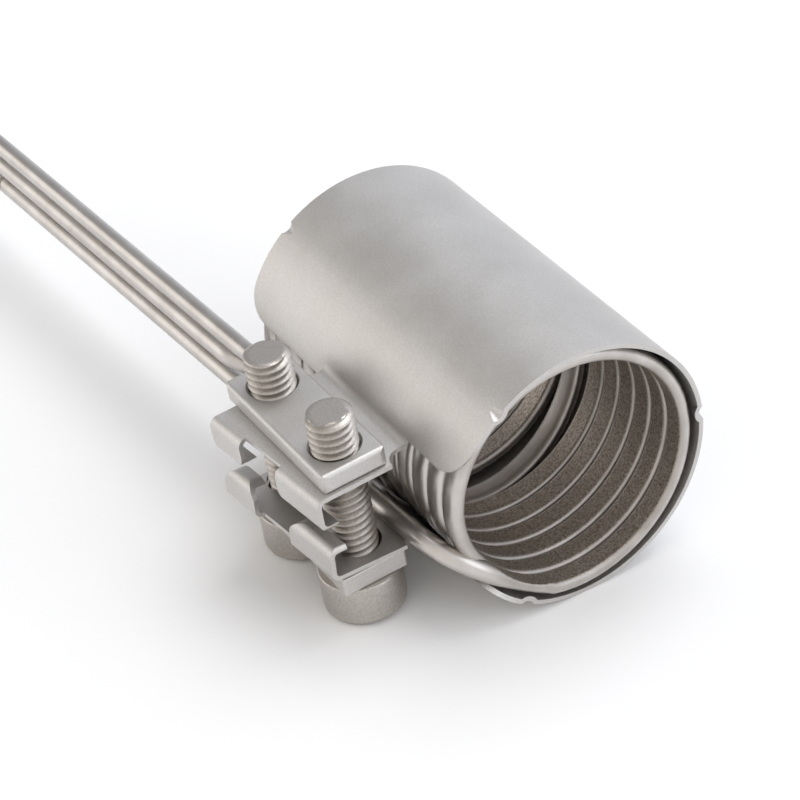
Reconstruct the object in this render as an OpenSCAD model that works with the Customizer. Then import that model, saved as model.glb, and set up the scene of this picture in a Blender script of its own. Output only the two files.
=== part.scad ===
// Coil heater with an axial clamp band, which heats a round nozzle from outside.
// The bore runs along Y, with its front mouth at y = 0 and the leads leaving at the rear.
// The clamp points to -X, and +Z is up.
// The heater lies on the lowest line of its band and on the two screw heads.

/* [Coil] */
// Radius of the bore, ground into the turns to fit the nozzle
bore_r = 10; // [9.5:0.1:11]
// Width of one flattened turn, along the bore
turn_w = 2.2; // [1.8:0.1:2.6]
// Thickness of one flattened turn, before grinding
turn_t = 1.3; // [1.2:0.1:1.6]
// Depth that the bore is ground into the turns
grind = 0.12; // [0.06:0.02:0.2]
// Play between two neighbouring turns
turn_gap = 0.05; // [0.04:0.01:0.2]
// Turns from the front kink to the middle opening
front_turns = 6; // [4:1:8]
// Turns from the middle opening to the rear lead
rear_turns = 6.84; // [5.84:1:8.84]
// Extra width of the opening in the middle of the coil
middle_gap = 1.8; // [0:0.1:4]
// How far the middle opening's stretch stands away from the ground bore
middle_lift = 0.2; // [0.15:0.05:0.4]
// Place of the first turn's middle behind the band's front rim, where the front lead meets it
coil_front = 0.7; // [0.3:0.1:0.7]
// Angle below the clamp's middle plane at which the front lead meets the coil
kink_angle = 68; // [62:1:72]
// Angle at which the front lead turns inwards from the coil's circle at the kink
kink_turn = 14; // [8:1:18]

/* [Leads] */
// Outer diameter of the round leads
lead_d = 1.75; // [1.5:0.05:1.9]
// Wall of the leads' sheath
lead_wall = 0.3; // [0.25:0.05:0.4]
// Diameter of the pin inside each lead
pin_d = 0.5; // [0.3:0.1:0.6]
// How far the leads reach behind the band's front rim
lead_reach = 82; // [60:1:140]
// Distance between the leads and the thermocouple, across the clamp's gap
lead_pitch = 2.6; // [2.2:0.1:2.7]
// Angle at which the leads run outwards as they go back
lead_splay = 3.2; // [0:0.2:4]
// Play between the leads and the clamp screws
lead_play = 0.2; // [0.1:0.05:0.5]
// Length of each rod's end that a crimp sleeve goes on, up to a rolled mark
seat_len = 6; // [4:0.5:8]
// Length of each bared pin behind the sheath's cut end
pin_bare = 3; // [1:0.5:6]

/* [Thermocouple] */
// Outer diameter of the thermocouple
probe_d = 1.6; // [1.2:0.1:1.8]
// Wall of its sheath
probe_wall = 0.25; // [0.25:0.05:0.3]
// Place of its closed tip behind the band's front rim
probe_tip = 12; // [8:0.5:16]
// Diameter of each of its two wires
probe_wire_d = 0.3; // [0.2:0.05:0.35]

/* [Band] */
// Thickness of the band's sheet
sheet = 0.4; // [0.3:0.05:0.6]
// Length of the band along the bore
band_len = 33; // [31:0.5:40]
// Space between the coil's outside and the band's inside
band_space = 0.4; // [0.3:0.05:0.7]
// Gap between the two lugs' inner faces
lug_gap = 8.3; // [7.6:0.1:9]
// Place of the lugs' front edges behind the band's front rim
lug_front = 6.5; // [5:0.5:8]
// Length of the lugs along the bore
lug_len = 14.9; // [14.5:0.1:18]
// Inner radius of the bends from the band to the lugs
lug_bend_r = 1; // [0.6:0.1:1.4]
// Height of the lugs' rolled hems
hem_h = 3.2; // [2.4:0.1:3.4]
// Outer radius of the hems' bends
hem_r = 0.8; // [0.7:0.05:1]
// Width of the hems' inward lips
hem_lip = 1.6; // [1.2:0.1:2]
// How much further the hems stand out at their rear ends
hem_flare = 1.5; // [0:0.1:1.8]
// Length of the notch in the middle of each hem
hem_notch = 5; // [4:0.2:7]
// Rounding of the hems' ends at the notch and at the rear
hem_end_r = 1.5; // [0.4:0.1:1.6]
// Rounding of the hems' front ends
hem_front_r = 0.4; // [0.2:0.1:1.2]
// Angle at which the lower lug stands off its bar
lower_lean = 3.5; // [0:0.5:4]
// Height of the band's upper free edge over the clamp's middle plane, in front of the lugs
front_edge_w = 5; // [4.2:0.1:5.1]
// Depth of the lower free edge under the clamp's middle plane, where the front lead passes
front_lower_w = 6.5; // [6:0.1:7]
// Height of the band's free edges over the clamp's middle plane, behind the lugs
rear_edge_w = 3.7; // [3.2:0.1:5]
// Radius of the band's free corners at the front
front_corner_r = 3.5; // [1:0.5:4.5]
// Radius of the band's free corners at the rear
rear_corner_r = 2.5; // [1:0.5:4.5]
// Radius of the round relief at the lugs' front roots
front_relief_r = 1.4; // [1:0.1:2.4]
// Radius of the round relief at the lugs' rear roots
rear_relief_r = 0.8; // [0.4:0.1:1.2]
// Radius of the dents that pinch the band's rims onto the coil
pinch_r = 0.75; // [0.6:0.05:1]
// Length of each dent along the bore
pinch_len = 2; // [1.5:0.25:3]
// Angle of the pinches above and below the clamp's middle plane
pinch_angle = 57; // [45:1:70]
// Play between the pinches and the coil
pinch_play = 0.03; // [0.02:0.01:0.1]

/* [Clamp] */
// Width of the clamp bars
bar_w = 6; // [5.5:0.5:7]
// Length of the clamp bars beyond the middle of each screw
bar_end = 3; // [2.75:0.25:4]
// Thickness of the clamp bars
bar_t = 1.8; // [1.5:0.1:2.5]
// Space between the band's outside and the bars
bar_space = 1.2; // [1.1:0.1:2]
// Place of the bars' front ends behind the band's front rim
bar_front = 6.75; // [6:0.25:9]
// Distance between the two screws
screw_pitch = 10; // [9:0.5:11]
// Radius of the threaded bar's corners and edges
soft_r = 0.35; // [0.1:0.05:0.5]
// Radius of the plain bar's corners and edges
crisp_r = 0.15; // [0.1:0.05:0.3]

/* [Screws] */
// Thread diameter
screw_d = 4; // [4:0.5:4]
// Length under the head
screw_len = 16; // [14:1:20]
// Head diameter
head_d = 7; // [6.5:0.1:7.5]
// Head height
head_h = 4; // [3:0.5:5]
// Width of the hexagon socket across its flats
key_w = 3; // [2.5:0.5:3]
// Depth of the hexagon socket
key_depth = 2; // [1.5:0.25:2.5]
// Play of the screws in the threaded bar, on the radius
thread_play = 0.04; // [0.02:0.01:0.08]
// Play of the screws in the plain bar and the lugs, on the radius
hole_play = 0.25; // [0.2:0.05:0.4]

/* [Hidden] */
$fn = 64;
// Overlap of cutters past the faces that they cut
past = 1;
steel = "#b9b6b3";
satin_steel = "#c4c0bc";
magnesia = "#e6e2d8";
nickel = "#a9a196";

// Radii from the bore outwards
coil_mid_r = bore_r + turn_t/2 - grind;
coil_out_r = coil_mid_r + turn_t/2;
band_in_r = coil_out_r + band_space;
band_r = band_in_r + sheet;

// Space between the bars' outer edges and the start of the hems' bends
hem_space = 0.2;

// Heights over the clamp's middle plane
lug_face = lug_gap/2 + sheet;
bar_face = lug_face + bar_t;
head_face = bar_face + head_h;
bend_w = lug_face + lug_bend_r;
bend_angle = asin(bend_w/(band_r + lug_bend_r));
bend_u = (band_r + lug_bend_r)*cos(bend_angle);
// Angle over which the band runs on into the bends, so that they join without a seam
bend_overlap = 0.5;

// Distances from the bore's axis towards the clamp
bar_in = band_r + bar_space;
bar_out = bar_in + bar_w;
screw_u = bar_in + bar_w/2;
lug_out = bar_out + hem_r + hem_space;
lug_rear = lug_front + lug_len;
root_front = lug_front + front_relief_r;
root_rear = lug_rear - rear_relief_r;
hem_angle = atan(hem_flare/lug_len);
screw_r = screw_d/2;
bar_len = screw_pitch + 2*bar_end;
screw_front = bar_front + bar_end;
screw_rear = screw_front + screw_pitch;
notch_front = (screw_front + screw_rear - hem_notch)/2;
notch_rear = notch_front + hem_notch;
lead_r = lead_d/2;
probe_r = probe_d/2;
lead_u = screw_u - screw_r - lead_play - max(lead_r, probe_r);

// The tilt at which the band and the screw heads both touch the ground
head_reach = screw_u + head_d/2;
rest_tilt = -asin(band_r/norm([head_reach, head_face])) + atan2(head_face, head_reach);

pinch_mid_r = coil_out_r + pinch_play + pinch_r + sheet;
// Share of a dent's radius that it loses towards its end
dent_taper = 0.9;

// Where the insulation and pins begin in a lead, how far they stand back at its cut end, and their play
core_from = 2;
core_recess = 0.3;
core_play = 0.01;
// Width and depth of the rolled mark where a crimp sleeve stops
mark_w = 0.6;
mark_depth = 0.17;
// How far a rod runs into the bend before it
sink = 0.2;

// Length of each bend along the bore, and how strongly its two ends keep their headings
front_bend_len = 6;
rear_bend_len = 3.2;
front_pull = [7, 4.5];
rear_pull = [1.5, 3];

// Steps round the coil's sheath and along it
section_steps = 10;
turn_steps = 32;
lead_steps = 10;
pitch = turn_w + turn_gap;
turns = front_turns + rear_turns;
middle_turn = 1/3;
lead_w = -(lug_gap/2 - lead_r - lead_play);

// A point at a distance u towards the clamp, y along the bore and w over the clamp's middle plane
function at(u, y, w) = [-u, y, w];
function unit(v) = v/norm(v);
function clamp01(v) = min(1, max(0, v));
function eased(v) = v*v*(3 - 2*v);
function bezier(p, t) =
    pow(1 - t, 3)*p[0] + 3*pow(1 - t, 2)*t*p[1] + 3*(1 - t)*t*t*p[2] + pow(t, 3)*p[3];

// The coil's middle line: s counts turns from the front kink
heading_step = 0.01;
function opened(s) = eased(clamp01((s - front_turns)/middle_turn));
function lifted(s) = sin(180*clamp01((s - front_turns + middle_turn)/(3*middle_turn)));
function coil_angle(s) = -kink_angle - 360*s;
function coil_r(s) = coil_mid_r + middle_lift*clamp01(2*lifted(s));
function coil_point(s) =
    let (r = coil_r(s), a = coil_angle(s))
    at(r*cos(a), coil_front + pitch*s + middle_gap*opened(s), r*sin(a));
function coil_outwards(s) = at(cos(coil_angle(s)), 0, sin(coil_angle(s)));
function coil_heading(s) = unit(coil_point(s + heading_step) - coil_point(s - heading_step));
rear_of_coil = coil_point(turns)[1];

// The leads' lines: each starts at the bend and runs back and outwards
lead_heading = unit(at(sin(lead_splay), cos(lead_splay), 0));
function on_line(y, w) = at(lead_u, screw_rear, w) + lead_heading*(y - screw_rear)/lead_heading[1];
front_start = on_line(coil_front + front_bend_len, lead_w);
rear_start = on_line(rear_of_coil + rear_bend_len, lead_w + lead_pitch);
probe_start = on_line(probe_tip, lead_w + 2*lead_pitch);
function turned_in(v, angle) =
    [v[0]*cos(angle) + v[2]*sin(angle), v[1], v[2]*cos(angle) - v[0]*sin(angle)];
front_bend = [
    coil_point(0), coil_point(0) - front_pull[0]*turned_in(coil_heading(0), kink_turn),
    front_start - front_pull[1]*lead_heading, front_start
];
rear_bend = [
    coil_point(turns), coil_point(turns) + rear_pull[0]*coil_heading(turns),
    rear_start - rear_pull[1]*lead_heading, rear_start
];

// Stations of the sheath's sweep: place, outward direction, and share of roundness
front_stations = [for (i = [0:lead_steps - 1]) [bezier(front_bend, 1 - i/lead_steps), coil_outwards(0), 1]];
coil_stations = [for (i = [0:round(turns*turn_steps)]) let (s = min(turns, i/turn_steps))
    [coil_point(s), coil_outwards(s), 0]];
rear_stations = [for (i = [1:lead_steps]) [bezier(rear_bend, i/lead_steps), coil_outwards(turns), 1]];
stations = concat(front_stations, coil_stations, rear_stations);

// The section, from a squashed round to a true round
squareness = 0.75;
function squared(v) = sign(v)*pow(abs(v), squareness);
function section(roundness) = [for (k = [0:section_steps - 1]) let (a = 360*k/section_steps - 90)
    (1 - roundness)*[turn_w/2*squared(cos(a)), turn_t/2*squared(sin(a))]
    + roundness*lead_r*[cos(a), sin(a)]];
function station_heading(i) = unit(stations[min(i + 1, len(stations) - 1)][0] - stations[max(i - 1, 0)][0]);
function ring(i) =
    let (t = station_heading(i), raw = stations[i][1], out = unit(raw - (raw*t)*t), side = cross(out, t))
    [for (q = section(stations[i][2])) stations[i][0] + q[0]*side + q[1]*out];

module sheath_sweep() {
    rings = len(stations);
    n = section_steps;
    points = [for (i = [0:rings - 1]) each ring(i)];
    walls = [for (i = [0:rings - 2], k = [0:n - 1])
        [i*n + k, (i + 1)*n + k, (i + 1)*n + (k + 1) % n, i*n + (k + 1) % n]];
    start_cap = [[for (k = [0:n - 1]) k]];
    end_cap = [[for (k = [0:n - 1]) rings*n - 1 - k]];
    polyhedron(points, concat(start_cap, walls, end_cap), convexity = 10);
}

module clamp_frame() {
    rotate([0, rest_tilt, 0]) children();
}

// A round rod along a lead's line, between two places behind the front rim
module rod(start, from_y, to_y, r) {
    translate(start + lead_heading*(from_y - start[1])/lead_heading[1])
        rotate([0, 0, lead_splay])
            rotate([-90, 0, 0])
                cylinder(r = r, h = (to_y - from_y)/lead_heading[1]);
}

// The mark rolled round a rod where a crimp sleeve stops
module seat_mark(start, r) {
    mark_y = lead_reach - seat_len;
    difference() {
        rod(start, mark_y - mark_w, mark_y, r + past);
        rod(start, mark_y - mark_w - past, mark_y + past, r - mark_depth);
    }
}

// Runs a flat outline in x and z along the bore
module along_bore(from_y, to_y) {
    translate([0, to_y, 0]) rotate([90, 0, 0]) linear_extrude(to_y - from_y) children();
}

// Runs a flat outline in y and z outwards, from one distance off the axis to another
module outwards(from_u, to_u) {
    translate([-to_u, 0, 0]) rotate([90, 0, 90]) linear_extrude(to_u - from_u) children();
}

// The tube of the coil and both leads, with the bore ground true and the leads' ends open
module heating_coil() color(steel) clamp_frame() {
    difference() {
        union() {
            difference() {
                sheath_sweep();
                along_bore(coil_front - 2*turn_w, rear_of_coil + 2*turn_w) circle(bore_r);
            }
            rod(front_start, front_start[1] - sink, lead_reach, lead_r);
            rod(rear_start, rear_start[1] - sink, lead_reach, lead_r);
        }
        rod(front_start, front_start[1] + core_from, lead_reach + past, lead_r - lead_wall);
        rod(rear_start, rear_start[1] + core_from, lead_reach + past, lead_r - lead_wall);
        seat_mark(front_start, lead_r);
        seat_mark(rear_start, lead_r);
    }
}

module lead_insulation(start) color(magnesia) clamp_frame() {
    difference() {
        rod(start, start[1] + core_from, lead_reach - core_recess, lead_r - lead_wall - core_play);
        rod(start, start[1], lead_reach, pin_d/2 + core_play);
    }
}
module lead_pin(start) color(nickel) clamp_frame() {
    rod(start, start[1] + core_from, lead_reach + pin_bare, pin_d/2);
}
module front_lead_insulation() lead_insulation(front_start);
module front_lead_pin() lead_pin(front_start);
module rear_lead_insulation() lead_insulation(rear_start);
module rear_lead_pin() lead_pin(rear_start);

// The thermocouple lies above the two leads; its wires are welded into the closed tip
module probe_wire(side, r, to_y) {
    wire_start = probe_start + [0, 0, side*probe_wire_d];
    rod(wire_start, probe_tip + core_from, to_y, r);
}
module thermocouple_sheath() color(steel) clamp_frame() {
    difference() {
        union() {
            rod(probe_start, probe_tip + probe_r, lead_reach, probe_r);
            translate(on_line(probe_tip + probe_r, probe_start[2])) sphere(r = probe_r);
        }
        rod(probe_start, probe_tip + core_from, lead_reach + past, probe_r - probe_wall);
        seat_mark(probe_start, probe_r);
    }
}
module thermocouple_insulation() color(magnesia) clamp_frame() {
    difference() {
        rod(probe_start, probe_tip + core_from, lead_reach - core_recess, probe_r - probe_wall - core_play);
        for (side = [-1, 1]) probe_wire(side, probe_wire_d/2 + core_play, lead_reach);
    }
}
module thermocouple_wire_upper() color(nickel) clamp_frame() {
    probe_wire(1, probe_wire_d/2, lead_reach + pin_bare);
}
module thermocouple_wire_lower() color(nickel) clamp_frame() {
    probe_wire(-1, probe_wire_d/2, lead_reach + pin_bare);
}

// One lug, above the middle plane: its bend off the band, then its flat and hem as one strip
module lug(lean) {
    along_bore(lug_front, lug_rear) bend_outline(lean);
    translate([-bend_u, 0, bend_w]) rotate([0, -lean, 0]) translate([bend_u, 0, -bend_w]) difference() {
        intersection() {
            along_hem() along_bore(-bar_w, lug_len + bar_w) strip_outline();
            translate([-2*lug_out, lug_front, 0]) cube([2*lug_out - bend_u, lug_len, lug_face + past]);
        }
        along_hem() notch();
        outwards(bar_out - hem_lip, lug_out + hem_flare + past) translate([0, lug_face - hem_h]) {
            translate([lug_front, 0]) corner_cut(hem_front_r);
            translate([notch_front, 0]) mirror([1, 0]) corner_cut(hem_end_r);
            translate([notch_rear, 0]) corner_cut(hem_end_r);
            translate([lug_rear, 0]) mirror([1, 0]) corner_cut(hem_end_r);
        }
    }
}
module bend_outline(lean) {
    reach = 2*(lug_bend_r + sheet);
    translate([-bend_u, bend_w]) intersection() {
        difference() {
            circle(lug_bend_r + sheet);
            circle(lug_bend_r);
        }
        polygon([[0, 0], reach*[cos(bend_angle), -sin(bend_angle)], reach*[sin(lean), -cos(lean)]]);
    }
}
// The hem runs slightly outwards to the rear; its outer side lies on this line
module along_hem() {
    translate([-lug_out, lug_front, 0]) rotate([0, 0, hem_angle]) children();
}
// The lug's flat with the hem rolled under it, from the hem's outer side inwards
module strip_outline() {
    difference() {
        hem_edge(0, bar_out);
        hem_edge(sheet, bar_out + past);
        translate([hem_lip, lug_face - hem_h - past]) square([bar_out, hem_h - sheet]);
    }
}
module hem_edge(inset, reach) {
    r = hem_r - inset;
    intersection() {
        union() {
            for (w = [lug_face - hem_r, lug_face - hem_h + hem_r]) translate([hem_r, w]) circle(r);
            translate([inset, lug_face - hem_h + hem_r]) square([r, hem_h - 2*hem_r]);
        }
        translate([0, lug_face - hem_h]) square([hem_r, hem_h]);
    }
    translate([hem_r, lug_face - hem_h + inset]) square([reach - hem_r, hem_h - 2*inset]);
}
// The notch takes the hem's bends and lip away and leaves the flat
module notch() {
    stretch = 1/cos(hem_angle);
    translate([-past, (notch_front - lug_front)*stretch, lug_face - hem_h - past]) {
        cube([past + hem_r, hem_notch*stretch, hem_h + 2*past]);
        cube([2*past + hem_lip, hem_notch*stretch, past + hem_r]);
    }
}
// What rounding takes off a square corner at the origin
module corner_cut(r) {
    difference() {
        translate([-past, -past]) square(past + r);
        translate([r, r]) circle(r);
    }
}
// Takes away the band from one rim to the lugs, between free edges with rounded corners
module free_edges(rim, reach, upper_w, lower_w, r) {
    outwards(band_in_r/2, band_r + past) translate([rim, 0]) mirror([reach > 0 ? 0 : 1, 0]) {
        translate([-past, -lower_w]) square([past + abs(reach), lower_w + upper_w]);
        translate([0, upper_w]) corner_cut(r);
        translate([0, -lower_w]) mirror([0, 1]) corner_cut(r);
    }
}
module at_pinches() {
    for (angle = [-pinch_angle, pinch_angle, 180], y = [0, band_len])
        translate([0, y, 0]) rotate([0, angle, 0]) translate([-pinch_mid_r, 0, 0]) children();
}
// A dent's tapered form, the same on both sides of the rim
module dent(r) {
    taper = dent_taper*pinch_r;
    for (way = [-90, 90]) rotate([way, 0, 0]) cylinder(r1 = r, r2 = r - taper, h = pinch_len);
}
// The round relief that narrows a lug to its root
module relief(y, r) {
    translate([-bend_u, y, -bar_face]) {
        cylinder(r = r, h = 2*bar_face);
        translate([0, -r, 0]) cube([bend_u, 2*r, 2*bar_face]);
    }
}
module clamp_band() color(satin_steel) clamp_frame() {
    slit_angle = bend_angle - bend_overlap;
    difference() {
        union() {
            along_bore(0, band_len) difference() {
                circle(band_r);
                circle(band_in_r);
            }
            intersection() {
                at_pinches() dent(pinch_r + sheet);
                along_bore(0, band_len) circle((band_r + band_in_r)/2);
            }
        }
        free_edges(0, root_front, front_edge_w, front_lower_w, front_corner_r);
        free_edges(band_len, root_rear - band_len, rear_edge_w, rear_edge_w, rear_corner_r);
        along_bore(root_front, root_rear) polygon(2*band_r*[[0, 0], [-cos(slit_angle), sin(slit_angle)],
            [-cos(slit_angle), -sin(slit_angle)]]);
        at_pinches() dent(pinch_r);
    }
    difference() {
        union() {
            lug(0);
            mirror([0, 0, 1]) lug(lower_lean);
        }
        relief(lug_front, front_relief_r);
        relief(lug_rear, rear_relief_r);
        at_screws() translate([0, 0, -bar_face]) cylinder(r = screw_r + hole_play, h = 2*bar_face);
    }
}
// A plate with rounded corners and edges, standing on z = 0 from the origin outwards
module rounded_outline(size, r) {
    translate([r, 0]) square([size[0] - 2*r, size[1]]);
    translate([0, r]) square([size[0], size[1] - 2*r]);
    for (x = [r, size[0] - r], y = [r, size[1] - r]) translate([x, y]) circle(r);
}
module rounded_plate(size, corner, edge) {
    intersection() {
        linear_extrude(size[2]) rounded_outline([size[0], size[1]], corner);
        along_bore(0, size[1]) rounded_outline([size[0], size[2]], edge);
        rotate([90, 0, 90]) linear_extrude(size[0]) rounded_outline([size[1], size[2]], edge);
    }
}
module at_screws() {
    for (y = [screw_front, screw_rear]) translate([-screw_u, y, 0]) children();
}
module plain_bar() color(satin_steel) clamp_frame() {
    difference() {
        translate([-bar_out, bar_front, -bar_face])
            rounded_plate([bar_w, bar_len, bar_t], 2*crisp_r, crisp_r);
        at_screws() translate([0, 0, -bar_face - past]) cylinder(r = screw_r + hole_play, h = bar_t + 2*past);
    }
}
module threaded_bar() color(satin_steel) clamp_frame() {
    mouth = screw_r/10;
    hole_r = screw_r + thread_play;
    difference() {
        translate([-bar_out, bar_front, lug_face]) rounded_plate([bar_w, bar_len, bar_t], 2*soft_r, soft_r);
        at_screws() translate([0, 0, lug_face - past]) cylinder(r = hole_r, h = bar_t + 2*past);
        at_screws() translate([0, 0, bar_face - mouth]) cylinder(r1 = hole_r, r2 = hole_r + 2*mouth, h = 2*mouth);
    }
}

// A socket head cap screw, standing on its head with its tip upwards
module screw(y) color(steel) clamp_frame() translate([-screw_u, y, -bar_face]) {
    tip = screw_r/5;
    difference() {
        union() {
            cylinder(r = screw_r, h = screw_len - tip);
            translate([0, 0, screw_len - tip]) cylinder(r1 = screw_r, r2 = screw_r - tip, h = tip);
            translate([0, 0, tip - head_h]) cylinder(r = head_d/2, h = head_h - tip);
            translate([0, 0, -head_h]) cylinder(r1 = head_d/2 - tip, r2 = head_d/2, h = tip);
        }
        translate([0, 0, -head_h - past]) cylinder(d = key_w/cos(30), h = key_depth + past, $fn = 6);
    }
}
module front_screw() screw(screw_front);
module rear_screw() screw(screw_rear);

heating_coil();
front_lead_insulation();
front_lead_pin();
rear_lead_insulation();
rear_lead_pin();
thermocouple_sheath();
thermocouple_insulation();
thermocouple_wire_upper();
thermocouple_wire_lower();
clamp_band();
plain_bar();
threaded_bar();
front_screw();
rear_screw();
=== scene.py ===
"""Looks of the coil heater with its axial clamp band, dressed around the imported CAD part."""

import math

import bmesh
import bpy
import numpy as np
from mathutils import Matrix, Vector


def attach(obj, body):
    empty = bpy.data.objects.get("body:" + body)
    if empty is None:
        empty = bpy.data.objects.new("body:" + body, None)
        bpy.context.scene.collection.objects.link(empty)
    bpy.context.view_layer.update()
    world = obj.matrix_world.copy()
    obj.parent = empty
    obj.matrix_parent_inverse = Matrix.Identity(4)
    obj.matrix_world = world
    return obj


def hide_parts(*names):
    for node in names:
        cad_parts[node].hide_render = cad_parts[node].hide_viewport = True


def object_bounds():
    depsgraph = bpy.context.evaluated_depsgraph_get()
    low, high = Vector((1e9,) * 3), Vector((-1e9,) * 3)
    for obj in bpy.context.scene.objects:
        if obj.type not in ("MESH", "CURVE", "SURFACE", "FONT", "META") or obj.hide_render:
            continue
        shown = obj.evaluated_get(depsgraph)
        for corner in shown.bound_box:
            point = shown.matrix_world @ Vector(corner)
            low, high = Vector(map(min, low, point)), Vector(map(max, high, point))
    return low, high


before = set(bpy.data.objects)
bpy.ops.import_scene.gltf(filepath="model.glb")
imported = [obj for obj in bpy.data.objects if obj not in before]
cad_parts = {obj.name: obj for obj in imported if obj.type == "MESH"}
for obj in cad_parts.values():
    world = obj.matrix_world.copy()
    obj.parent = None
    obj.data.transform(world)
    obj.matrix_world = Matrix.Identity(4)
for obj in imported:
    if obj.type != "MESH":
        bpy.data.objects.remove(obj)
cad_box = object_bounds()

MM = 0.001

# ---- Sizes in millimetres and angles in radians, as in the CAD part
# The bore, and the flattened tube on the coil: its section is a box at squareness 0 and an ellipse at 1
BORE_R = 10
TURN_W, TURN_T, GRIND, TURN_GAP = 2.2, 1.3, 0.12, 0.05
SQUARENESS = 0.75
# The coil opens once, between its front and its rear turns, where the tube is lifted a little
FRONT_TURNS, REAR_TURNS = 6, 6.84
MIDDLE_GAP, MIDDLE_LIFT, MIDDLE_TURN = 1.8, 0.2, 1/3
COIL_FRONT, KINK_ANGLE, KINK_TURN = 0.7, math.radians(68), math.radians(14)
# The band round the coil, its two lugs, and the bars that the screws pull together
BAND_SPACE, SHEET, LUG_GAP = 0.4, 0.4, 8.3
BAR_GAP, BAR_HALF_W, BAR_T = 1.2, 3, 1.8
BAND_R = BORE_R + TURN_T - GRIND + BAND_SPACE + SHEET
BAR_FACE = LUG_GAP/2 + SHEET + BAR_T
SCREW_U = BAND_R + BAR_GAP + BAR_HALF_W
SCREW_Y = (9.75, 19.75)
SCREW_R, SCREW_LEN, THREAD_PITCH, THREAD_DEPTH = 2, 16, 0.7, 0.42
HEAD_R, HEAD_H, KEY_W, KEY_DEPTH = 3.5, 4, 3, 2
# The straight leads: open-ended tubes, splayed from the bore's direction, with a rolled mark before their seats
LEAD_R, LEAD_WALL, LEAD_REACH, LEAD_PITCH = 0.875, 0.3, 82, 2.6
LEAD_SPLAY, LEAD_PLAY = math.radians(3.2), 0.2
SEAT_LEN, MARK_W, MARK_DEPTH = 6, 0.6, 0.17
CORE_FROM = 2
# Each bend from the coil into a lead: how long it is along the bore, and how hard its two ends pull
FRONT_BEND, REAR_BEND = 6, 3.2
FRONT_PULL, REAR_PULL = (7, 4.5), (1.5, 3)

# At rest the part lies on its band and on the screws' heads
HEAD_REACH, HEAD_FACE = SCREW_U + HEAD_R, BAR_FACE + HEAD_H
REST_TILT = math.atan2(HEAD_FACE, HEAD_REACH) - math.asin(BAND_R/math.hypot(HEAD_REACH, HEAD_FACE))
TILTED = Matrix.Rotation(REST_TILT, 3, "Y")


# ---- Small helpers
def linear(code):
    """An sRGB hex colour as the linear colour that the shaders take."""
    parts = [int(code[i:i + 2], 16)/255 for i in (1, 3, 5)]
    return [c/12.92 if c <= 0.04045 else ((c + 0.055)/1.055)**2.4 for c in parts] + [1]


def supply(tree, socket, source):
    """Links or sets one input. A node stands for what it gives first, and None leaves the input alone."""
    if isinstance(source, bpy.types.Node):
        source = next(s for s in source.outputs if s.enabled)
    if isinstance(source, bpy.types.NodeSocket):
        tree.links.new(source, socket)
    elif source is not None:
        socket.default_value = source


def add(tree, kind, *sources, **settings):
    """Adds one node with its settings, and links or sets its inputs in order."""
    node = tree.nodes.new(kind)
    for name, value in settings.items():
        setattr(node, name, value)
    for socket, source in zip([s for s in node.inputs if s.enabled], sources):
        supply(tree, socket, source)
    return node


def dress(tree, shader, inputs):
    """Links or sets a shader's inputs by their names."""
    for name, source in inputs.items():
        supply(tree, shader.inputs[name], source)


def shape_tree(name, sockets):
    """A geometry node tree with named inputs; returns it with what its input node gives."""
    tree = bpy.data.node_groups.new(name, "GeometryNodeTree")
    for socket, kind in sockets.items():
        tree.interface.new_socket(socket, in_out="INPUT", socket_type="NodeSocket" + kind)
    tree.interface.new_socket("Geometry", in_out="OUTPUT", socket_type="NodeSocketGeometry")
    return tree, tree.nodes.new("NodeGroupInput").outputs


def end_tree(tree, shape, finish, sharp=None):
    """Ends a tree: smooth faces, crisp where an edge is steep or where sharp says so, made real in their finish."""
    steepest_smooth = math.radians(50)
    crisp = add(tree, "FunctionNodeCompare", add(tree, "GeometryNodeInputMeshEdgeAngle").outputs["Unsigned Angle"],
                steepest_smooth, operation="GREATER_THAN", data_type="FLOAT")
    if sharp:
        crisp = add(tree, "FunctionNodeBooleanMath", sharp, crisp, operation="OR")
    smooth = add(tree, "GeometryNodeSetShadeSmooth", shape, None, True, domain="FACE")
    edged = add(tree, "GeometryNodeSetShadeSmooth", smooth, crisp, False, domain="EDGE")
    real = add(tree, "GeometryNodeRealizeInstances", edged)
    add(tree, "NodeGroupOutput", add(tree, "GeometryNodeSetMaterial", real, None, finish))


def grown(name, mesh, tree, sizes):
    """Runs a tree on a mesh and returns the plain mesh that it makes."""
    carrier = bpy.data.objects.new(name, mesh)
    bpy.context.collection.objects.link(carrier)
    modifier = carrier.modifiers.new(name, "NODES")
    modifier.node_group = tree
    for item in tree.interface.items_tree:
        if item.in_out == "INPUT" and item.name in sizes:
            modifier[item.identifier] = sizes[item.name]
    graph = bpy.context.evaluated_depsgraph_get()
    plain = bpy.data.meshes.new_from_object(carrier.evaluated_get(graph), depsgraph=graph)
    carrier.modifiers.remove(modifier)
    bpy.data.objects.remove(carrier)
    return plain


def piece(name, mesh, body, slot, material, *replaced):
    """Makes a mesh a piece of the object, on a CAD body, in place of CAD nodes."""
    shape = bmesh.new()
    shape.from_mesh(mesh)
    bmesh.ops.recalc_face_normals(shape, faces=shape.faces)
    shape.to_mesh(mesh)
    shape.free()
    mesh.materials.clear()
    mesh.materials.append(material)
    made = bpy.data.objects.new(name, mesh)
    bpy.context.collection.objects.link(made)
    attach(made, body)
    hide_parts(*replaced)


# ---- Finishes
def material_tree(name):
    """A new material; returns it with its tree, its shader and the object's own coordinates."""
    material = bpy.data.materials.new(name)
    material.use_nodes = True
    tree = material.node_tree
    return material, tree, tree.nodes["Principled BSDF"], add(tree, "ShaderNodeTexCoord").outputs["Object"]


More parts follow.
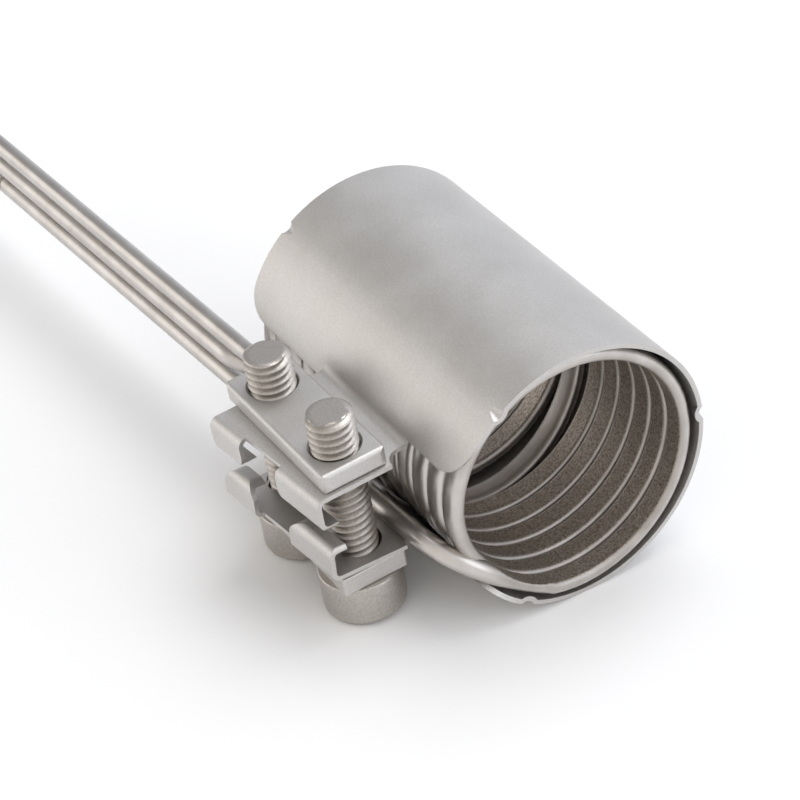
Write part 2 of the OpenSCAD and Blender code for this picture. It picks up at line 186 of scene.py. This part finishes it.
def blasted_stainless():
    """Stainless sheet, bead-blasted: an even, matt, warm pale grey with a very fine grain and no streaks."""
    material, tree, shader, place = material_tree("bead_blasted_stainless")
    # Beads leave dents of about 0.05 mm; drawn three times as coarse, so that the grain shows
    grain = add(tree, "ShaderNodeTexNoise", place, 1/(0.16*MM), 2.0, 0.6)
    # Slow changes of tone, a few millimetres wide, where the blast passed over
    cloud = add(tree, "ShaderNodeTexNoise", place, 1/(5*MM), 3.0, 0.55)
    tone = add(tree, "ShaderNodeMapRange", cloud, 0.3, 0.7, 0.0, 1.0)
    colour = add(tree, "ShaderNodeMix", tone, linear("#ccc9c6"), linear("#d4d2d0"), data_type="RGBA")
    speck = add(tree, "ShaderNodeMapRange", grain, 0.3, 0.7, 0.0, 0.35)
    speckled = add(tree, "ShaderNodeMix", speck, colour, linear("#aba6a1"), data_type="RGBA")
    rough = add(tree, "ShaderNodeMapRange", cloud, 0.3, 0.7, 0.48, 0.52)
    bump = add(tree, "ShaderNodeBump", 0.2, 0.01*MM, None, grain)
    dress(tree, shader, {"Base Color": speckled, "Metallic": 1, "Roughness": rough, "Normal": bump})
    return material


def heater_sheath():
    """Drawn stainless tube, annealed and then ground true in the bore.

    The ground face is brownish and speckled by its grit; the roundings beside it and the outside are pale satin.
    """
    material, tree, shader, place = material_tree("annealed_stainless_tube")
    # The bore runs along Y, so a spot's radius is taken across X and Z
    parts = add(tree, "ShaderNodeSeparateXYZ", place).outputs
    across = add(tree, "ShaderNodeCombineXYZ", parts["X"], 0.0, parts["Z"])
    radius = add(tree, "ShaderNodeVectorMath", across, operation="LENGTH")
    # Grinding grit leaves pits of about 0.1 mm, drawn at 0.18 mm so that they show; annealing stains in slow patches
    grit = add(tree, "ShaderNodeTexNoise", place, 1/(0.18*MM), 3.0, 0.65)
    stain = add(tree, "ShaderNodeTexNoise", place, 1/(3*MM), 3.0, 0.6)
    grit_tone = add(tree, "ShaderNodeMapRange", grit, 0.35, 0.65, 0.0, 1.0)
    stain_tone = add(tree, "ShaderNodeMapRange", stain, 0.3, 0.7, 0.0, 1.0)
    ground = add(tree, "ShaderNodeMix", grit_tone, linear("#8d837a"), linear("#d0c7bd"), data_type="RGBA")
    flank = add(tree, "ShaderNodeMix", stain_tone, linear("#a9a39d"), linear("#c1bcb7"), data_type="RGBA")
    outside = add(tree, "ShaderNodeMix", stain_tone, linear("#bdb8b3"), linear("#cfcbc7"), data_type="RGBA")
    # The ground face ends where the roundings leave the bore's radius; its tone fades out just past its edge
    past_ground = add(tree, "ShaderNodeMapRange", radius, (BORE_R + 0.01)*MM, (BORE_R + 0.04)*MM, 0.0, 1.0)
    past_flank = add(tree, "ShaderNodeMapRange", radius, (BORE_R + 0.25)*MM, (BORE_R + 0.75)*MM, 0.0, 1.0)
    near = add(tree, "ShaderNodeMix", past_ground, ground, flank, data_type="RGBA")
    whole = add(tree, "ShaderNodeMix", past_flank, near, outside, data_type="RGBA")
    rough = add(tree, "ShaderNodeMapRange", past_flank, 0.0, 1.0, 0.5, 0.33)
    bump = add(tree, "ShaderNodeBump", 0.3, 0.01*MM, None, grit)
    dress(tree, shader, {"Base Color": whole, "Metallic": 1, "Roughness": rough, "Normal": bump})
    return material


def screw_stainless():
    """Cold-headed stainless screws, tumbled: satin warm grey with fine specks, smoother where they are pale."""
    material, tree, shader, place = material_tree("tumbled_stainless_screw")
    # Tumbling leaves dents of 0.1 to 0.2 mm
    grain = add(tree, "ShaderNodeTexNoise", place, 1/(0.2*MM), 3.0, 0.6)
    speck = add(tree, "ShaderNodeMapRange", grain, 0.35, 0.65, 0.0, 1.0)
    colour = add(tree, "ShaderNodeMix", speck, linear("#b3ada7"), linear("#c3beb8"), data_type="RGBA")
    rough = add(tree, "ShaderNodeMapRange", speck, 0.0, 1.0, 0.44, 0.36)
    bump = add(tree, "ShaderNodeBump", 0.15, 0.01*MM, None, grain)
    dress(tree, shader, {"Base Color": colour, "Metallic": 1, "Roughness": rough, "Normal": bump})
    return material


def packed_magnesia():
    """Magnesia powder pressed hard in the lead's end: chalky off-white with a sandy surface."""
    material, tree, shader, place = material_tree("pressed_magnesia")
    # Grains of about 0.1 mm
    grain = add(tree, "ShaderNodeTexNoise", place, 1/(0.1*MM), 3.0, 0.7)
    colour = add(tree, "ShaderNodeMix", grain, linear("#d9d3c6"), linear("#f0ece2"), data_type="RGBA")
    bump = add(tree, "ShaderNodeBump", 0.5, 0.02*MM, None, grain)
    dress(tree, shader, {"Base Color": colour, "Roughness": 0.9, "Normal": bump})
    return material


def nickel_wire():
    """Bare nickel conductors: dull yellowish grey with faint drawing lines along the wire."""
    material, tree, shader, place = material_tree("drawn_nickel_wire")
    # Lines 0.08 mm apart, twenty times as long as they are wide
    along_wire = add(tree, "ShaderNodeMapping", place, None, None, (1.0, 0.05, 1.0))
    lines = add(tree, "ShaderNodeTexNoise", along_wire, 1/(0.08*MM), 2.0, 0.5)
    colour = add(tree, "ShaderNodeMix", lines, linear("#9c9488"), linear("#bbb3a6"), data_type="RGBA")
    bump = add(tree, "ShaderNodeBump", 0.3, 0.004*MM, None, lines)
    dress(tree, shader, {"Base Color": colour, "Metallic": 1, "Roughness": 0.4, "Normal": bump})
    return material


BLASTED, SHEATH, SCREW = blasted_stainless(), heater_sheath(), screw_stainless()
MAGNESIA, NICKEL = packed_magnesia(), nickel_wire()
for node, finish in {
    "clamp_band": BLASTED, "plain_bar": BLASTED, "threaded_bar": BLASTED, "thermocouple_sheath": SHEATH,
    "front_lead_insulation": MAGNESIA, "rear_lead_insulation": MAGNESIA, "thermocouple_insulation": MAGNESIA,
    "front_lead_pin": NICKEL, "rear_lead_pin": NICKEL,
    "thermocouple_wire_upper": NICKEL, "thermocouple_wire_lower": NICKEL,
}.items():
    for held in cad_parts[node].material_slots:
        held.material = finish


# ---- The heater's tube: the same middle line as in the CAD part
COIL_MID_R = BORE_R + TURN_T/2 - GRIND
TURN_PITCH = TURN_W + TURN_GAP
TURNS = FRONT_TURNS + REAR_TURNS
LEAD_U = SCREW_U - SCREW_R - LEAD_PLAY - LEAD_R
LEAD_W = -(LUG_GAP/2 - LEAD_R - LEAD_PLAY)
LEAD_HEADING = Vector((-math.sin(LEAD_SPLAY), math.cos(LEAD_SPLAY), 0))


def held_in(v):
    """A share kept between nothing and the whole."""
    return min(1, max(0, v))


def coil_point(s):
    """The place after s turns from the front kink, before the part is laid down."""
    opened = held_in((s - FRONT_TURNS)/MIDDLE_TURN)
    opened = opened*opened*(3 - 2*opened)
    lifted = math.sin(math.pi*held_in((s - FRONT_TURNS + MIDDLE_TURN)/(3*MIDDLE_TURN)))
    r = COIL_MID_R + MIDDLE_LIFT*held_in(2*lifted)
    a = -KINK_ANGLE - 2*math.pi*s
    return Vector((-r*math.cos(a), COIL_FRONT + TURN_PITCH*s + MIDDLE_GAP*opened, r*math.sin(a)))


def coil_outwards(s):
    """The way from the bore's axis out through the tube after s turns."""
    a = -KINK_ANGLE - 2*math.pi*s
    return Vector((-math.cos(a), 0, math.sin(a)))


def coil_heading(s):
    """The way that the tube runs after s turns."""
    step = 0.01
    return (coil_point(s + step) - coil_point(s - step)).normalized()


def on_lead(y, w):
    """The place on a lead's middle line at y along the bore; w is the lead's height between the lugs."""
    return Vector((-LEAD_U, SCREW_Y[1], w)) + LEAD_HEADING*(y - SCREW_Y[1])/LEAD_HEADING.y


def bend(a, b, c, d, t):
    """The place at share t of a cubic curve from a to d, pulled towards b and c."""
    return (1 - t)**3*a + 3*(1 - t)**2*t*b + 3*(1 - t)*t*t*c + t**3*d


def lead_run(s, start_y, w, pulls, way, turned_in):
    """Places and radii of one lead, from its bend at the coil to its cut end and back in along its open mouth."""
    meet, heading = coil_point(s), Matrix.Rotation(turned_in, 3, "Y") @ coil_heading(s)*way
    start = on_lead(start_y, w)
    bend_steps, straight_steps = 24, 8
    run = [(bend(meet, meet + pulls[0]*heading, start - pulls[1]*LEAD_HEADING, start, i/bend_steps), LEAD_R)
           for i in range(1, bend_steps + 1)]
    # The rolled mark has steep sides, and the seat of a crimp sleeve starts behind it
    seat, side = LEAD_REACH - SEAT_LEN, 0.01
    mark = seat - MARK_W
    run += [(on_lead(start_y + (mark - start_y)*i/straight_steps, w), LEAD_R) for i in range(1, straight_steps + 1)]
    run += [(on_lead(mark + side, w), LEAD_R - MARK_DEPTH), (on_lead(seat - side, w), LEAD_R - MARK_DEPTH),
            (on_lead(seat, w), LEAD_R)]
    # The cut end has broken edges; inside, the wall runs down to just behind the bend, where the insulation starts
    rim, inner, end = 0.06, LEAD_R - LEAD_WALL, on_lead(LEAD_REACH, w)
    run += [(end - LEAD_HEADING*rim, LEAD_R), (end, LEAD_R - rim), (end, inner + rim), (end - LEAD_HEADING*rim, inner),
            (on_lead(start_y + CORE_FROM, w), inner)]
    return run


def tube_line():
    """The tube's middle line with what each station needs: its heading, its outer side and its section."""
    steps_a_turn, mouth_stations = 64, 7
    coil = [i/steps_a_turn for i in range(int(TURNS*steps_a_turn) + 1)] + [TURNS]
    front = lead_run(0, COIL_FRONT + FRONT_BEND, LEAD_W, FRONT_PULL, -1, KINK_TURN)
    rear = lead_run(TURNS, coil_point(TURNS).y + REAR_BEND, LEAD_W + LEAD_PITCH, REAR_PULL, 1, 0)
    stations = [(p, coil_outwards(0), 1, r*MM) for p, r in reversed(front)]
    stations += [(coil_point(s), coil_outwards(s), 0, 0) for s in coil]
    stations += [(p, coil_outwards(TURNS), 1, r*MM) for p, r in rear]
    places, outwards, roundness, radii = zip(*stations)
    last = len(places) - 1
    headings = [(places[min(i + 1, last)] - places[max(i - 1, 0)]).normalized() for i in range(last + 1)]
    # The open mouths turn back on themselves, so there the heading is the lead's own
    for i in range(mouth_stations):
        headings[i], headings[-1 - i] = -LEAD_HEADING, LEAD_HEADING
    middle = [TILTED @ p*MM for p in places]
    mesh = bpy.data.meshes.new("tube line")
    mesh.from_pydata(middle, [(i, i + 1) for i in range(last)], [])
    for name, rows in {"middle": middle, "heading": [TILTED @ h for h in headings],
                       "outwards": [TILTED @ o for o in outwards]}.items():
        mesh.attributes.new(name, "FLOAT_VECTOR", "POINT").data.foreach_set("vector", np.array(rows).ravel())
    for name, values in {"roundness": roundness, "round_radius": radii}.items():
        mesh.attributes.new(name, "FLOAT", "POINT").data.foreach_set("value", np.array(values, float))
    return mesh


def tube_tree():
    """Sweeps the tube's section along its line: rounded boxes on the coil, circles on the leads.

    The bore is then ground: what stands further in than the bore's radius is brought out to it.
    """
    tree, given = shape_tree("heater tube", {
        "Line": "Geometry", "Turn Width": "Float", "Turn Thickness": "Float", "Squareness": "Float",
        "Bore Radius": "Float", "Section Points": "Int", "Finish": "Material"})
    line = add(tree, "GeometryNodeMeshToCurve", given["Line"])
    section = add(tree, "GeometryNodeCurvePrimitiveCircle", given["Section Points"], mode="RADIUS")
    share = add(tree, "ShaderNodeMath", add(tree, "GeometryNodeInputIndex"), given["Section Points"],
                operation="DIVIDE")
    turn = add(tree, "ShaderNodeMath", share, 2*math.pi, operation="MULTIPLY")
    marked = add(tree, "GeometryNodeStoreNamedAttribute", section, None, "section_angle", turn,
                 data_type="FLOAT", domain="POINT")
    swept = add(tree, "GeometryNodeCurveToMesh", line, marked)
    swept.inputs["Fill Caps"].default_value = True
    read = {name: add(tree, "GeometryNodeInputNamedAttribute", name, data_type=kind).outputs["Attribute"]
            for name, kind in (("middle", "FLOAT_VECTOR"), ("heading", "FLOAT_VECTOR"), ("outwards", "FLOAT_VECTOR"),
                               ("roundness", "FLOAT"), ("round_radius", "FLOAT"), ("section_angle", "FLOAT"))}
    # The section's two directions: outwards, made square to the heading, and sideways
    along = add(tree, "ShaderNodeVectorMath", read["outwards"], read["heading"], operation="DOT_PRODUCT")
    leant = add(tree, "ShaderNodeVectorMath", read["heading"], along, operation="SCALE")
    level = add(tree, "ShaderNodeVectorMath", read["outwards"], leant, operation="SUBTRACT")
    out = add(tree, "ShaderNodeVectorMath", level, operation="NORMALIZE")
    side = add(tree, "ShaderNodeVectorMath", out, read["heading"], operation="CROSS_PRODUCT")
    moved = read["middle"]
    for axis, trig, width in ((side, "COSINE", "Turn Width"), (out, "SINE", "Turn Thickness")):
        wave = add(tree, "ShaderNodeMath", read["section_angle"], operation=trig)
        steep = add(tree, "ShaderNodeMath", add(tree, "ShaderNodeMath", wave, operation="ABSOLUTE"),
                    given["Squareness"], operation="POWER")
        signed = add(tree, "ShaderNodeMath", steep, add(tree, "ShaderNodeMath", wave, operation="SIGN"),
                     operation="MULTIPLY")
        half = add(tree, "ShaderNodeMath", given[width], 0.5, operation="MULTIPLY")
        flat = add(tree, "ShaderNodeMath", signed, half, operation="MULTIPLY")
        circular = add(tree, "ShaderNodeMath", wave, read["round_radius"], operation="MULTIPLY")
        blend = add(tree, "ShaderNodeMix", read["roundness"], flat, circular, data_type="FLOAT")
        step = add(tree, "ShaderNodeVectorMath", axis, blend, operation="SCALE")
        moved = add(tree, "ShaderNodeVectorMath", moved, step, operation="ADD")
    shaped = add(tree, "GeometryNodeSetPosition", swept, None, moved)
    # Grinding: the bore runs along Y, so its radius is taken across X and Z
    parts = add(tree, "ShaderNodeSeparateXYZ", add(tree, "GeometryNodeInputPosition")).outputs
    across = add(tree, "ShaderNodeCombineXYZ", parts["X"], 0.0, parts["Z"])
    radius = add(tree, "ShaderNodeVectorMath", across, operation="LENGTH")
    inside = add(tree, "ShaderNodeMath", radius, given["Bore Radius"], operation="LESS_THAN")
    short = add(tree, "ShaderNodeMath", given["Bore Radius"], radius, operation="DIVIDE")
    more = add(tree, "ShaderNodeMath", short, 1.0, operation="SUBTRACT")
    push = add(tree, "ShaderNodeVectorMath", across, more, operation="SCALE")
    ground = add(tree, "GeometryNodeSetPosition", shaped, inside, None, push)
    # The ground face keeps a crisp edge; it is found by its radius, with 0.002 mm to spare
    edge = add(tree, "ShaderNodeMath", given["Bore Radius"], 0.002*MM, operation="ADD")
    on_ground = add(tree, "FunctionNodeCompare", radius, edge, operation="LESS_THAN", data_type="FLOAT")
    end_tree(tree, ground, given["Finish"], sharp=add(tree, "GeometryNodeMeshFaceSetBoundaries", on_ground))
    return tree


tube = grown("tube", tube_line(), tube_tree(), {
    "Turn Width": TURN_W*MM, "Turn Thickness": TURN_T*MM, "Squareness": SQUARENESS, "Bore Radius": BORE_R*MM,
    "Section Points": 32, "Finish": SHEATH})
piece("heater_tube", tube, "heater", "sheath_steel", SHEATH, "heating_coil")


# ---- The two screws: threads that follow their helix, and lathed heads with a hexagon socket
THREAD_SUNK, ROWS_A_PITCH, SPARE_PITCHES = 0.5, 8, 4


def thread_tree():
    """A threaded shank along Z, its tip rounded, its other end closed inside the head.

    Rows of the grid follow the thread's helix, so its crest stays sharp at any number of rows.
    """
    tree, given = shape_tree("screw thread", {
        "Base": "Geometry", "Length": "Float", "Sunk": "Float", "Pitch": "Float", "Radius": "Float",
        "Depth": "Float", "Tip Rounding": "Float", "Around": "Int", "Rows A Pitch": "Int", "Rows": "Int",
        "Finish": "Material"})
    columns = add(tree, "ShaderNodeMath", given["Around"], 1.0, operation="ADD")
    lines = add(tree, "ShaderNodeMath", given["Rows"], 1.0, operation="ADD")
    grid = add(tree, "GeometryNodeMeshGrid", 1.0, 1.0, columns, lines)
    spot = add(tree, "ShaderNodeSeparateXYZ", add(tree, "GeometryNodeInputPosition")).outputs
    turn_share = add(tree, "ShaderNodeMath", spot["X"], 0.5, operation="ADD")
    row_share = add(tree, "ShaderNodeMath", spot["Y"], 0.5, operation="ADD")
    row = add(tree, "ShaderNodeMath", row_share, given["Rows"], operation="MULTIPLY")
    row_turn = add(tree, "ShaderNodeMath", row, given["Rows A Pitch"], operation="DIVIDE")
    # Both ends run on by more than one pitch past the shank, where the radius falls to nothing
    helix = add(tree, "ShaderNodeMath", add(tree, "ShaderNodeMath", row_turn, turn_share, operation="ADD"), 2.2,
                operation="SUBTRACT")
    free = add(tree, "ShaderNodeMath", add(tree, "ShaderNodeMath", helix, given["Pitch"], operation="MULTIPLY"),
               given["Sunk"], operation="SUBTRACT")
    low = add(tree, "ShaderNodeMath", given["Sunk"], -1.0, operation="MULTIPLY")
    height = add(tree, "ShaderNodeClamp", free, low, given["Length"])
    # The thread's form: a crest an eighth of the pitch wide, straight flanks, and a root a quarter of it wide
    phase = add(tree, "ShaderNodeMath", add(tree, "ShaderNodeMath", row_turn, operation="FRACT"), 2.0, -1.0,
                operation="MULTIPLY_ADD")
    groove = add(tree, "ShaderNodeMapRange", add(tree, "ShaderNodeMath", phase, operation="ABSOLUTE"),
                 0.125, 0.75, 0.0, 1.0)
    cut = add(tree, "ShaderNodeMath", groove, given["Depth"], operation="MULTIPLY")
    threaded = add(tree, "ShaderNodeMath", given["Radius"], cut, operation="SUBTRACT")
    # The tip's rounding, a quarter circle under the end
    inner = add(tree, "ShaderNodeMath", given["Radius"], given["Tip Rounding"], operation="SUBTRACT")
    start = add(tree, "ShaderNodeMath", given["Length"], given["Tip Rounding"], operation="SUBTRACT")
    above = add(tree, "ShaderNodeMath", add(tree, "ShaderNodeMath", height, start, operation="SUBTRACT"), 0.0,
                operation="MAXIMUM")
    run = add(tree, "ShaderNodeMath", add(tree, "ShaderNodeMath", above, given["Tip Rounding"], operation="DIVIDE"),
              2.0, operation="POWER")
    rise = add(tree, "ShaderNodeMath", add(tree, "ShaderNodeMath", 1.0, run, operation="SUBTRACT"), operation="SQRT")
    rounded = add(tree, "ShaderNodeMath", rise, given["Tip Rounding"], inner, operation="MULTIPLY_ADD")
    limited = add(tree, "ShaderNodeMath", threaded, rounded, operation="MINIMUM")
    over = add(tree, "ShaderNodeMath", add(tree, "ShaderNodeMath", free, height, operation="SUBTRACT"),
               operation="ABSOLUTE")
    closing = add(tree, "ShaderNodeMapRange", add(tree, "ShaderNodeMath", over, given["Pitch"], operation="DIVIDE"),
                  0.0, 1.0, 1.0, 0.0)
    radius = add(tree, "ShaderNodeMath", limited, closing, operation="MULTIPLY")
    angle = add(tree, "ShaderNodeMath", turn_share, 2*math.pi, operation="MULTIPLY")
    spots = [add(tree, "ShaderNodeMath", add(tree, "ShaderNodeMath", angle, operation=trig), radius,
                 operation="MULTIPLY") for trig in ("COSINE", "SINE")]
    place = add(tree, "ShaderNodeCombineXYZ", spots[0], spots[1], height)
    wound = add(tree, "GeometryNodeSetPosition", grid, None, place)
    end_tree(tree, add(tree, "GeometryNodeMergeByDistance", wound, None, 0.001*MM), given["Finish"])
    return tree


def lathed(rings, sides):
    """A closed mesh through rings of (height, radius, how many flats); 0 flats is a circle."""
    points, faces = [], []
    for z, r, flats in rings:
        for k in range(sides):
            a = 2*math.pi*k/sides
            reach = r
            if flats:
                part = 2*math.pi/flats
                reach = r/math.cos((a % part) - part/2)
            points.append((reach*math.cos(a), reach*math.sin(a), z))
    for i in range(len(rings) - 1):
        for k in range(sides):
            n = (k + 1) % sides
            faces.append((i*sides + k, i*sides + n, (i + 1)*sides + n, (i + 1)*sides + k))
    faces.append(tuple(range(sides)))
    faces.append(tuple(len(points) - 1 - k for k in range(sides)))
    mesh = bpy.data.meshes.new("lathed")
    mesh.from_pydata(points, [], faces)
    return mesh


def screw_head():
    """The head under the bar: a rounded rim at its outer end, and the socket with its drilled bottom."""
    # The bearing face stays a hair off the bar, and its middle is hidden in the shank
    rim, crown, bearing, hidden_r = 0.15, 0.55, -0.01, 1.2
    mouth_r, lip_r, lip, key_cone = 1.95, 1.88, 0.03, 0.3
    drill_r, drill_cone, drill_point_r = 1.3, 0.35, 0.05
    rings = [(bearing, hidden_r, 0), (bearing, HEAD_R - rim, 0)]
    rings += [(bearing - rim + rim*math.cos(t), HEAD_R - rim + rim*math.sin(t), 0) for t in (0.4, 0.8, 1.2)]
    rings += [(bearing - rim, HEAD_R, 0), (-HEAD_H/2, HEAD_R, 0), (crown - HEAD_H, HEAD_R, 0)]
    rings += [(crown - HEAD_H - crown*math.sin(t), HEAD_R - crown + crown*math.cos(t), 0)
              for t in (0.26, 0.52, 0.79, 1.05, 1.31)]
    rings += [(-HEAD_H, HEAD_R - crown, 0), (-HEAD_H, mouth_r, 0), (lip - HEAD_H, lip_r, 0),
              (key_cone - HEAD_H, KEY_W/2, 6), (KEY_DEPTH - HEAD_H, KEY_W/2, 6), (KEY_DEPTH - HEAD_H, drill_r, 0),
              (KEY_DEPTH + drill_cone - HEAD_H, drill_point_r, 0)]
    mesh = lathed([(z*MM, r*MM, flats) for z, r, flats in rings], 96)
    shape = bmesh.new()
    shape.from_mesh(mesh)
    for face in shape.faces:
        face.smooth = True
    for edge in shape.edges:
        edge.smooth = edge.calc_face_angle(0) < math.radians(30)
    shape.to_mesh(mesh)
    shape.free()
    return mesh


def placed_screw(shank, head, y, spin):
    """One whole screw at its place along the bore; spin is where its thread starts."""
    whole = bmesh.new()
    whole.from_mesh(shank)
    whole.from_mesh(head)
    place = Matrix.Translation(Vector((-SCREW_U, y, -BAR_FACE))*MM)
    whole.transform(TILTED.to_4x4() @ place @ Matrix.Rotation(spin, 4, "Z"))
    mesh = bpy.data.meshes.new("screw")
    whole.to_mesh(mesh)
    whole.free()
    return mesh


shank = grown("shank", bpy.data.meshes.new("nothing"), thread_tree(), {
    "Length": SCREW_LEN*MM, "Sunk": THREAD_SUNK*MM, "Pitch": THREAD_PITCH*MM, "Radius": SCREW_R*MM,
    "Depth": THREAD_DEPTH*MM, "Tip Rounding": 0.4*MM, "Around": 48, "Rows A Pitch": ROWS_A_PITCH,
    "Rows": int(((SCREW_LEN + THREAD_SUNK)/THREAD_PITCH + SPARE_PITCHES)*ROWS_A_PITCH), "Finish": SCREW})
head = screw_head()
for name, y, spin in (("front", SCREW_Y[0], 0.7), ("rear", SCREW_Y[1], 2.9)):
    piece(name + "_socket_screw", placed_screw(shank, head, y, spin), "screw_" + name, "screw_steel", SCREW,
          name + "_screw")


# ---- Floor, light and camera
def floor():
    """A plain pale table top, wide enough to run out of every view."""
    reach, low = 3.0, cad_box[0].z
    mesh = bpy.data.meshes.new("table")
    mesh.from_pydata([(x, y, low) for x, y in ((-reach, -reach), (reach, -reach), (reach, reach), (-reach, reach))],
                     [], [(0, 1, 2, 3)])
    material, tree, shader, _ = material_tree("pale_table")
    dress(tree, shader, {"Base Color": linear("#f4f4f4"), "Roughness": 0.6})
    mesh.materials.append(material)
    table = bpy.data.objects.new("table", mesh)
    bpy.context.collection.objects.link(table)


def studio():
    """A pale room, warm on the clamp's side and cool on the other, and soft lamps overhead and in front.

    The band mirrors the table on both sides and the dimmer back of the room between them, as in the photograph.
    """
    world = bpy.data.worlds.new("white room")
    bpy.context.scene.world = world
    world.use_nodes = True
    tree = world.node_tree
    way = add(tree, "ShaderNodeTexCoord").outputs["Generated"]
    # The room is dimmest up behind the leads, and at its full light from 73 degrees away
    dimmest = (-0.22, 0.70, 0.67)
    dim = add(tree, "ShaderNodeVectorMath", way, dimmest, operation="DOT_PRODUCT")
    strength = add(tree, "ShaderNodeMapRange", dim, 0.3, 1.0, 1.0, 0.45, interpolation_type="SMOOTHSTEP")
    share = add(tree, "ShaderNodeMapRange", add(tree, "ShaderNodeSeparateXYZ", way), -0.6, 0.6, 0.0, 1.0)
    room = add(tree, "ShaderNodeMix", share, linear("#fffbf6"), linear("#f0f5ff"), data_type="RGBA")
    dress(tree, tree.nodes["Background"], {"Color": room, "Strength": strength})
    lit = Vector((0, 0.015, 0))
    for name, spot, size, power, tint in (
            ("above", (0.20, 0.06, 0.55), 0.45, 1.4, "#ffffff"), ("front", (0.30, -0.45, 0.35), 0.5, 0.6, "#ffffff"),
            ("beside the clamp", (-0.42, 0.40, 0.15), 0.5, 0.6, "#fffcf9")):
        data = bpy.data.lights.new(name, "AREA")
        data.shape, data.size, data.energy = "DISK", size, power
        data.color = linear(tint)[:3]
        lamp = bpy.data.objects.new(name, data)
        bpy.context.collection.objects.link(lamp)
        lamp.location = spot
        lamp.rotation_euler = (lit - Vector(spot)).to_track_quat("-Z", "Y").to_euler()


def photo_camera():
    """The camera, fitted to the photograph by the rims, the rods and the screws."""
    # Degrees, and millimetres from the bore's front mouth: back along the view, to the right and up
    azimuth, elevation, turned = -31.4322, 34.2652, 4.649
    distance, aside, above = 223.475, -14.451, 6.1074
    a, e = math.radians(azimuth), math.radians(elevation)
    back = Vector((math.sin(a)*math.cos(e), -math.cos(a)*math.cos(e), math.sin(e)))
    right = Vector((0, 0, 1)).cross(back).normalized()
    up = back.cross(right)
    spin = Matrix.Rotation(math.radians(turned), 3, "Y")
    data = bpy.data.cameras.new("photo camera")
    data.lens, data.sensor_width, data.clip_start = 126.32, 36, 0.01
    camera = bpy.data.objects.new("photo camera", data)
    bpy.context.collection.objects.link(camera)
    stance = Matrix((spin @ right, spin @ up, spin @ back)).transposed().to_4x4()
    stance.translation = spin @ (back*distance + right*aside + up*above)*MM
    camera.matrix_world = stance
    bpy.context.scene.camera = camera


floor()
studio()
photo_camera()
bpy.context.scene.view_settings.view_transform = "Standard"
